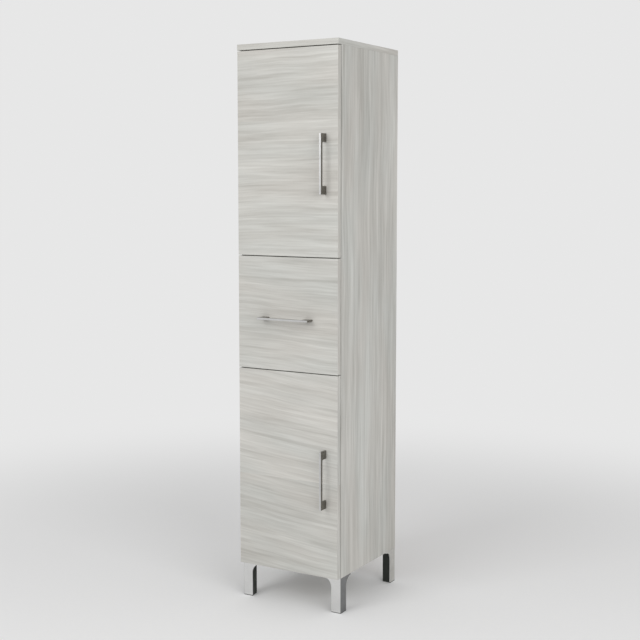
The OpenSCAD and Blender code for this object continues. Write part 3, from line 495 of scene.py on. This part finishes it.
def plastic(name, colour, roughness, speckle=0.03, depth=0.00002, grain=1400.0):
    """Moulded plastic, enamel or foil. speckle is how far the tone varies, and depth and grain
    are the depth of the fine texture and its changes per metre"""
    material, n = new_material(name)
    spot = n.add("TexCoord").outputs["Object"]
    texture = n.noise(spot, grain, roughness=0.6)
    patch = n.noise(spot, 22.0)
    tone = n.tint(n.even(patch), rgba(colour, 1.0 - speckle), rgba(colour, 1.0 + speckle))
    n.surface({
        "Base Color": tone,
        "Roughness": n.even(patch, roughness + 0.04, roughness - 0.03),
        "Normal": n.bump(texture, strength=0.3, distance=depth),
    })
    return material


def hardboard(name):
    """Thin fibreboard: white lacquer, with raw brown fibre on the rear and the underside"""
    material, n = new_material(name)
    coordinates = n.add("TexCoord").outputs
    facing = n.add("SeparateXYZ", {0: coordinates["Normal"]}).outputs
    spot = coordinates["Object"]
    fibre = n.noise(spot, 420.0, detail=4.0, roughness=0.7)
    flakes = n.noise(n.stretched(spot, (1.0, 1.0, 0.35)), 160.0,
                     detail=3.0, roughness=0.65, distortion=0.8)
    mottle = n.spread(n.total((fibre, 0.5), (flakes, 0.5)), 0.32, 0.68)
    raw = n.tint(mottle, rgba(RAW_FIBRE[0]), rgba(RAW_FIBRE[1]))
    lacquer = n.tint(n.even(fibre), rgba(LACQUER[0]), rgba(LACQUER[1]))
    rear = n.math("GREATER_THAN", facing["Y"], 0.5)
    under = n.math("LESS_THAN", facing["Z"], -0.5)
    raw_side = n.math("MAXIMUM", rear, under)
    n.surface({
        "Base Color": n.tint(raw_side, lacquer, raw),
        "Roughness": n.mix(raw_side, 0.38, 0.82),
        "Normal": n.bump(flakes, strength=0.4, distance=0.00008),
    })
    return material


def raw_beech(name):
    """Beech of the dowels, grooved along their length by the bump"""
    material, n = new_material(name)
    spot = n.add("TexCoord").outputs["Object"]
    stretched = n.stretched(spot, (60.0, 700.0, 700.0))
    grain = n.noise(stretched, 1.0, detail=3.0, roughness=0.6)
    n.surface({
        "Base Color": n.tint(n.even(grain), rgba(BEECH[0]), rgba(BEECH[1])),
        "Roughness": n.even(grain, 0.72, 0.6),
        "Normal": n.bump(grain, strength=0.5, distance=0.0001),
    })
    return material


# Shaping helpers


def only(obj):
    """Selects this object alone and makes it active"""
    bpy.ops.object.select_all(action="DESELECT")
    obj.select_set(True)
    bpy.context.view_layer.objects.active = obj


def join_corners(obj, whole_faces=False):
    """Makes corners that lie on each other one, and with whole_faces joins flat triangles too"""
    only(obj)
    bpy.ops.object.mode_set(mode="EDIT")
    bpy.ops.mesh.select_all(action="SELECT")
    bpy.ops.mesh.remove_doubles(threshold=SAME_POINT)
    if whole_faces:
        bpy.ops.mesh.dissolve_limited(angle_limit=math.radians(0.5))
    bpy.ops.mesh.select_all(action="DESELECT")
    bpy.ops.object.mode_set(mode="OBJECT")


def merged_copy(node, name):
    """A copy of a node's mesh with its loose triangles joined into whole faces"""
    copy = bpy.data.objects.new(name, frame["nodes"][node].data.copy())
    bpy.context.scene.collection.objects.link(copy)
    join_corners(copy, whole_faces=True)
    return copy


def stand_in(copy, node, material):
    """The copy is shown for the node, rides on its body and takes its material slot"""
    copy.data.materials.clear()
    copy.data.materials.append(material)
    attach(copy, BODY_OF[node])
    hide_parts(node)


def shade(piece, degrees):
    """Smooth shading, in which the wide faces stay flat and the eased edges take the bend"""
    only(piece)
    bpy.ops.object.shade_smooth_by_angle(angle=math.radians(degrees))
    weigh = piece.modifiers.new("Even shading", "WEIGHTED_NORMAL")
    weigh.keep_sharp = True
    bpy.ops.object.modifier_apply(modifier=weigh.name)


def eased_board(node, material, width):
    """A board whose outer edges are eased by a small round. Edges shorter than three times its
    width stay sharp"""
    copy = merged_copy(node, node + "_board")
    points = copy.data.vertices
    low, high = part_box(node)

    def outer_sides(corner):
        return {
            (i, end)
            for i in range(3)
            for end, limit in enumerate((low[i], high[i]))
            if abs(points[corner].co[i] - limit) < ON_SIDE
        }

    for edge in copy.data.edges:
        first, last = edge.vertices
        length = (points[first].co - points[last].co).length
        edge.select = len(outer_sides(first) & outer_sides(last)) >= 2 and length > 3 * width
    bpy.context.tool_settings.mesh_select_mode = (False, True, False)
    bpy.ops.object.mode_set(mode="EDIT")
    bpy.ops.mesh.bevel(offset=width, segments=3, profile=0.5, affect="EDGES", clamp_overlap=True)
    bpy.ops.object.mode_set(mode="OBJECT")
    shade(copy, 35)
    stand_in(copy, node, material)


def eased_part(node, material, width, segments=2):
    """A metal or plastic part whose sharp edges are eased by a Bevel modifier"""
    copy = merged_copy(node, node + "_part")
    bevel = copy.modifiers.new("Ease", "BEVEL")
    bevel.width = width
    bevel.segments = segments
    bevel.limit_method = "ANGLE"
    bevel.angle_limit = math.radians(40)
    bevel.use_clamp_overlap = True
    only(copy)
    bpy.ops.object.modifier_apply(modifier=bevel.name)
    shade(copy, 40)
    stand_in(copy, node, material)


def islands(mesh):
    """The separate solids of a mesh, each as a list of its corners' numbers"""
    work = bmesh.new()
    work.from_mesh(mesh)
    seen, groups = set(), []
    for start in work.verts:
        if start.index in seen:
            continue
        group, queue = [], [start]
        seen.add(start.index)
        while queue:
            corner = queue.pop()
            group.append(corner.index)
            for edge in corner.link_edges:
                other = edge.other_vert(corner)
                if other.index not in seen:
                    seen.add(other.index)
                    queue.append(other)
        groups.append(group)
    work.free()
    return groups


def draw_in_rim(corners, centre, axis, seat, radius):
    """Draws the corners that lie farther than radius from a screw's axis in to that radius, at
    the height of its seat"""
    for corner in corners:
        arm = corner.co - centre
        arm[axis] = 0.0
        if arm.length > radius:
            drawn = centre + arm.normalized() * radius
            drawn[axis] = seat
            corner.co = drawn


def cross_blades(centre, axis, length, depth):
    """Two crossed blocks round the centre of a head, which cut a recess of this depth"""
    blades = []
    first, second = (i for i in range(3) if i != axis)
    for long_side, short_side in ((first, second), (second, first)):
        bpy.ops.mesh.primitive_cube_add(size=1, location=centre)
        blade = bpy.context.object
        scale = [0.0, 0.0, 0.0]
        scale[axis] = 2 * depth
        scale[long_side] = length
        scale[short_side] = length * ARM_SHARE
        blade.scale = scale
        blade.rotation_euler[axis] = CROSS_TURN
        blades.append(blade)
    return blades


def one_cutter(blades):
    """The blades, joined into one object"""
    bpy.ops.object.select_all(action="DESELECT")
    for blade in blades:
        blade.select_set(True)
    bpy.context.view_layer.objects.active = blades[0]
    bpy.ops.object.transform_apply(location=True, rotation=True, scale=True)
    bpy.ops.object.join()
    return bpy.context.object


def recessed_screws(node, material, axis, facing, recess, low_head=None):
    """Screws with a cross recess in each head. axis and facing tell where the heads look:
    facing is 1 or -1, or a function that finds it from a screw's corners. low_head is the
    thickness and radius of a head whose rim folds below its seat in the frame: the rim is
    drawn in to the seat, where the chamfer ends"""
    copy = merged_copy(node, node + "_set")
    points = copy.data.vertices
    blades = []
    for group in islands(copy.data):
        corners = [points[i].co.copy() for i in group]
        side = facing(corners) if callable(facing) else facing
        face = max(side * c[axis] for c in corners) * side
        low = [min(c[i] for c in corners) for i in range(3)]
        high = [max(c[i] for c in corners) for i in range(3)]
        centre = Vector([(low[i] + high[i]) / 2 for i in range(3)])
        centre[axis] = face
        if low_head:
            thickness, radius = low_head
            rim = [points[i] for i in group]
            draw_in_rim(rim, centre, axis, face - side * thickness, radius)
        blades += cross_blades(centre, axis, *recess)
    if low_head:
        join_corners(copy)
    cutter = one_cutter(blades)
    cut = copy.modifiers.new("Recess", "BOOLEAN")
    cut.operation = "DIFFERENCE"
    cut.solver = "EXACT"
    cut.use_self = True
    cut.object = cutter
    only(copy)
    bpy.ops.object.modifier_apply(modifier=cut.name)
    bpy.data.objects.remove(cutter, do_unlink=True)
    shade(copy, 35)
    stand_in(copy, node, material)


def outward(corners):
    """1 for a screw in the right half of the cabinet and -1 for one in the left half"""
    return 1 if sum(c[0] for c in corners) > 0 else -1


def inward(corners):
    return -outward(corners)


# Pieces


class CABINET_OT_fronts(bpy.types.Operator):
    """Doors and drawer front, with the grain lying across them"""

    bl_idname = "cabinet.fronts"
    bl_label = "Fronts"

    def execute(self, context):
        ease = context.scene.cabinet_laminate.edge_ease
        for node, figure in FRONT_PRINTS.items():
            eased_board(node, laminate("front_" + node, "X", "Z", **figure), ease)
        return {"FINISHED"}


class CABINET_OT_carcass(bpy.types.Operator):
    """Sides with upright grain, the lid, bottom, dividers and shelves with grain across, and
    the hardboard back and drawer bottom"""

    bl_idname = "cabinet.carcass"
    bl_label = "Carcass"

    def execute(self, context):
        wood = context.scene.cabinet_laminate
        # Each board gets a stretch of the print of its own
        for k, node in enumerate(SIDES):
            place = (0.2 + k, 0.9 + 2.3 * k, 13.0 + 4 * k)
            finish = laminate("carcass_" + node, "Z", "Y", place, tone=wood.side_tone,
                              broadness=0.5, contrast=1.05)
            eased_board(node, finish, wood.edge_ease * CARCASS_EASE)
        for k, node in enumerate(FLAT_BOARDS):
            like_fronts = node == "lid"
            place = (0.7 * k, 0.33 * k, 21.0 + 3 * k)
            finish = laminate("carcass_" + node, "X", "Y", place,
                              tone=1.0 if like_fronts else wood.side_tone)
            eased_board(node, finish, wood.edge_ease * (1.0 if like_fronts else CARCASS_EASE))
        for node in HARDBOARDS:
            eased_board(node, hardboard("hardboard_" + node), HARDBOARD_EASE)
        return {"FINISHED"}


class CABINET_OT_drawer_box(bpy.types.Operator):
    """White foiled sides and back of the drawer"""

    bl_idname = "cabinet.drawer_box"
    bl_label = "Drawer box"

    def execute(self, context):
        foil = plastic("white_foil", FOIL, 0.42, speckle=0.02, grain=900.0)
        for node in DRAWER_BOARDS:
            eased_board(node, foil, FOILED_EASE)
        return {"FINISHED"}


class CABINET_OT_handles(bpy.types.Operator):
    """Slim bar handles"""

    bl_idname = "cabinet.handles"
    bl_label = "Handles"

    def execute(self, context):
        look = context.scene.cabinet_metal
        # The sides of the handles get painted shade
        upright = metal("handle_upright", look.bright, 0.33, brushed="Z", sides=look.painted_side_shade)
        level = metal("handle_level", look.bright, 0.33, brushed="X", sides=look.painted_side_shade)
        for node in HANDLES:
            finish = level if node == "drawer_handle" else upright
            eased_part(node, finish, look.edge_ease, segments=3)
        return {"FINISHED"}


class CABINET_OT_legs(bpy.types.Operator):
    """Corner legs bent from sheet, with moulded cores"""

    bl_idname = "cabinet.legs"
    bl_label = "Legs"

    def execute(self, context):
        look = context.scene.cabinet_metal
        bright = [LEG_POLISH * channel for channel in look.bright]
        for node in LEGS:
            # The sides of the legs that turn from the front get painted shade: the front legs the
            # dark leg shade, the rear legs the darker nickel
            sides = look.painted_leg_side_shade if "front" in node else look.nickel
            polish = metal("polish_" + node, bright, 0.13, wear=0.03, sides=sides)
            eased_part(node, polish, look.edge_ease, segments=3)
        # The core's near-black colour holds painted shade from the leg's hollow as well as the
        # black plastic
        core = plastic("core_plastic_and_painted_shade", CORE_PLASTIC_AND_SHADE, 0.50, speckle=0.08)
        eased_part("leg_pads", core, CORE_EASE)
        return {"FINISHED"}


class CABINET_OT_hinges(bpy.types.Operator):
    """Cups, links, arms and plates of the concealed hinges, and the shelf pins"""

    bl_idname = "cabinet.hinges"
    bl_label = "Hinges"

    def execute(self, context):
        nickel = metal("nickel_plate", context.scene.cabinet_metal.nickel, 0.28, wear=0.05)
        for node in HINGE_PARTS:
            eased_part(node, nickel, HINGE_EASE)
        eased_part("shelf_pins", nickel, SHELF_PIN_EASE)
        return {"FINISHED"}


class CABINET_OT_runners(bpy.types.Operator):
    """Enamelled runners with plastic rollers, and the soft bumpers"""

    bl_idname = "cabinet.runners"
    bl_label = "Runners"

    def execute(self, context):
        enamel = plastic("runner_enamel", ENAMEL, 0.34, speckle=0.02, depth=0.00003, grain=700.0)
        for node in RUNNERS:
            eased_part(node, enamel, RUNNER_EASE)
        roller = plastic("roller_plastic", ROLLER, 0.38)
        for node in ROLLERS:
            eased_part(node, roller, ROLLER_EASE)
        soft = plastic("bumper_plastic", BUMPER, 0.5)
        for node in BUMPERS:
            eased_part(node, soft, BUMPER_EASE)
        return {"FINISHED"}


class CABINET_OT_fasteners(bpy.types.Operator):
    """Screws with cross recesses, cams, bolts and dowels"""

    bl_idname = "cabinet.fasteners"
    bl_label = "Fasteners"

    def execute(self, context):
        zinc = metal("zinc_plate", context.scene.cabinet_metal.zinc, 0.33, wear=0.06)
        x, y, z = range(3)
        for node in HANDLE_SCREWS:
            recessed_screws(node, zinc, y, 1, HANDLE_RECESS)
        for node in CUP_SCREWS:
            recessed_screws(node, zinc, y, 1, CUP_RECESS, low_head=CUP_HEAD)
        recessed_screws("hinge_plate_screws", zinc, x, 1, PLATE_RECESS)
        recessed_screws("runner_screws", zinc, x, inward, RUNNER_RECESS)
        recessed_screws("drawer_screws", zinc, x, outward, DRAWER_RECESS)
        recessed_screws("leg_screws", zinc, z, -1, LEG_RECESS)
        for node in CAM_FITTINGS:
            eased_part(node, zinc, CAM_EASE)
        eased_part("dowels", raw_beech("raw_beech"), DOWEL_EASE)
        return {"FINISHED"}


# Stage


class CABINET_OT_stage(bpy.types.Operator):
    """Pale floor, soft studio light and the camera"""

    bl_idname = "cabinet.stage"
    bl_label = "Stage"

    def execute(self, context):
        scene = context.scene
        look = scene.cabinet_stage
        self.floor(look)
        self.world(scene, look)
        self.lamp("key", look.key_power, *KEY_LAMP)
        self.lamp("fill", look.fill_power, *FILL_LAMP)
        self.camera(scene, look)
        scene.view_settings.view_transform = "Standard"
        return {"FINISHED"}

    def floor(self, look):
        bpy.ops.mesh.primitive_circle_add(vertices=96, radius=FLOOR_RADIUS, fill_type="NGON")
        ground = bpy.context.object
        ground.name = "studio_floor"
        material, n = new_material("studio_floor")
        spot = n.add("TexCoord").outputs["Object"]
        reach = n.add("VectorMath", {0: spot}, operation="LENGTH").outputs["Value"]
        near, far = FLOOR_FADE
        fade = n.add("MapRange", {"Value": reach, "From Min": near, "From Max": far},
                     interpolation_type="SMOOTHERSTEP")
        share = n.math("MULTIPLY", fade.outputs[0], n.looked_at())
        grain = n.noise(spot, 90.0, detail=3.0, roughness=0.6)
        tone = n.tint(grain, rgba(look.floor, 0.985), rgba(look.floor, 1.015))
        matt = n.add("BsdfPrincipled", {"Base Color": tone, "Roughness": 0.9,
                                        "Specular IOR Level": 0.0})
        glow = n.add("Emission", {"Color": rgba(look.backdrop), "Strength": 1.0})
        both = n.add("MixShader", {0: share, 1: matt.outputs[0], 2: glow.outputs[0]})
        n.add("OutputMaterial", {"Surface": both.outputs[0]})
        ground.data.materials.append(material)

    def world(self, scene, look):
        """Soft light from all round, while the camera sees the backdrop"""
        world = scene.world or bpy.data.worlds.new("studio")
        scene.world = world
        world.use_nodes = True
        n = Nodes(world)
        white = rgba((1.0, 1.0, 1.0))
        soft = n.add("Background", {"Color": white, "Strength": look.world_strength})
        shown = n.add("Background", {"Color": rgba(look.backdrop), "Strength": 1.0})
        both = n.add("MixShader", {0: n.looked_at(), 1: soft.outputs[0], 2: shown.outputs[0]})
        n.add("OutputWorld", {"Surface": both.outputs[0]})

    def lamp(self, name, power, place, aim, width, height):
        light = bpy.data.lights.new(name, "AREA")
        light.shape = "RECTANGLE"
        light.size, light.size_y = width, height
        light.energy = power
        lamp = bpy.data.objects.new(name, light)
        bpy.context.scene.collection.objects.link(lamp)
        lamp.location = place
        lamp.rotation_euler = (Vector(aim) - Vector(place)).to_track_quat("-Z", "Y").to_euler()

    def camera(self, scene, look):
        data = bpy.data.cameras.new("camera")
        data.sensor_width = 36.0
        data.lens = look.focal_length
        data.shift_y = look.shift
        data.dof.use_dof = False
        data.clip_end = 200.0
        camera = bpy.data.objects.new("camera", data)
        scene.collection.objects.link(camera)
        camera.location = look.camera_place
        camera.rotation_euler = (math.radians(90) - look.camera_dip, 0.0, look.camera_turn)
        scene.camera = camera


# Panel and main


class CABINET_PT_panel(bpy.types.Panel):
    """Lists the pieces, sizes and colours"""

    bl_label = "Tall cabinet"
    bl_idname = "CABINET_PT_panel"
    bl_space_type = "VIEW_3D"
    bl_region_type = "UI"
    bl_category = "Cabinet"

    def draw(self, context):
        for operator in OPERATORS:
            self.layout.operator(operator.bl_idname)
        scene = context.scene
        for group in (scene.cabinet_laminate, scene.cabinet_metal, scene.cabinet_stage):
            box = self.layout.box()
            for name in group.__annotations__:
                box.prop(group, name)


OPERATORS = (
    CABINET_OT_stage,
    CABINET_OT_fronts,
    CABINET_OT_carcass,
    CABINET_OT_drawer_box,
    CABINET_OT_handles,
    CABINET_OT_legs,
    CABINET_OT_hinges,
    CABINET_OT_runners,
    CABINET_OT_fasteners,
)
SETTINGS = (LaminateSettings, MetalSettings, StageSettings)
CLASSES = SETTINGS + OPERATORS + (CABINET_PT_panel,)


def register():
    for cls in CLASSES:
        bpy.utils.register_class(cls)
    bpy.types.Scene.cabinet_laminate = PointerProperty(type=LaminateSettings)
    bpy.types.Scene.cabinet_metal = PointerProperty(type=MetalSettings)
    bpy.types.Scene.cabinet_stage = PointerProperty(type=StageSettings)


def unregister():
    for name in ("cabinet_laminate", "cabinet_metal", "cabinet_stage"):
        delattr(bpy.types.Scene, name)
    for cls in reversed(CLASSES):
        bpy.utils.unregister_class(cls)


def main():
    register()
    bpy.ops.cabinet.stage()
    bpy.ops.cabinet.fronts()
    bpy.ops.cabinet.carcass()
    bpy.ops.cabinet.drawer_box()
    bpy.ops.cabinet.handles()
    bpy.ops.cabinet.legs()
    bpy.ops.cabinet.hinges()
    bpy.ops.cabinet.runners()
    bpy.ops.cabinet.fasteners()


if __name__ == "__main__":
    main()
